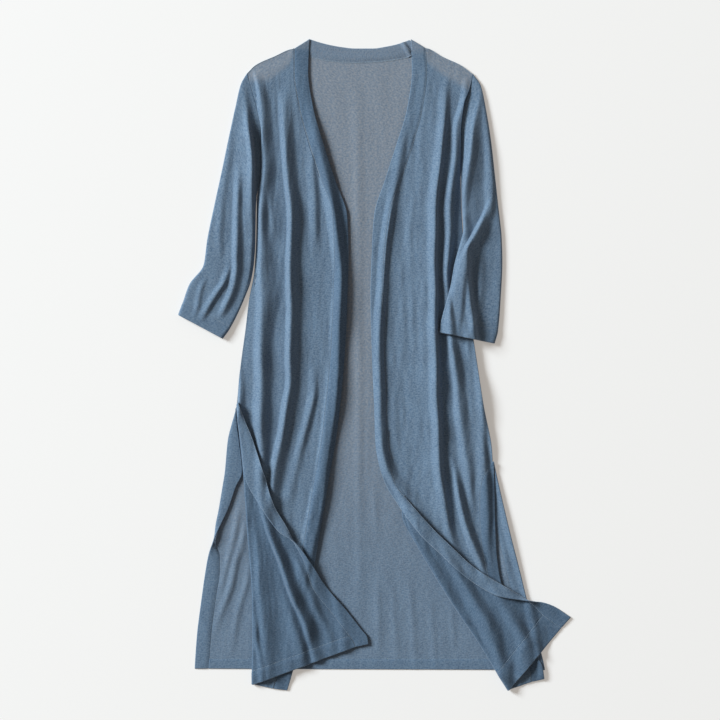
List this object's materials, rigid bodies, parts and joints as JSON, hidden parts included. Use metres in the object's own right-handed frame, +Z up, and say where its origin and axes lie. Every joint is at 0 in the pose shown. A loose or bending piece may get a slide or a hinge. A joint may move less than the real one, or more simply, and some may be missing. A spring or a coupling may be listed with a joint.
{
  "type": "long open-front knit cardigan (coatigan) laid flat",
  "caption": "Long open-front cardigan in fine jersey knit, laid flat with three-quarter sleeves, side slits and hems folded over.",
  "frame": {"origin": "middle of the underside, on the surface the cardigan lies on", "axes": "+Y from the hems to the neck, +X to the viewer's right (the wearer's left), +Z up from the surface"},
  "size_m": [0.6528, 1.0844, 0.0204],
  "materials": {
    "jersey": "fine matt jersey knit",
    "band": "doubled fine jersey knit"
  },
  "bodies": {
    "root": {"back_panel": "jersey", "back_hem_band": "band", "back_slit_band_right": "band", "back_slit_band_left": "band", "back_neck_band": "band", "right_front_panel": "jersey", "left_front_panel": "jersey", "right_front_hem_band": "band", "left_front_hem_band": "band", "right_front_band": "band", "left_front_band": "band", "right_front_slit_band": "band", "left_front_slit_band": "band", "right_sleeve": "jersey", "left_sleeve": "jersey", "right_cuff": "band", "left_cuff": "band"}
  },
  "joints": []
}
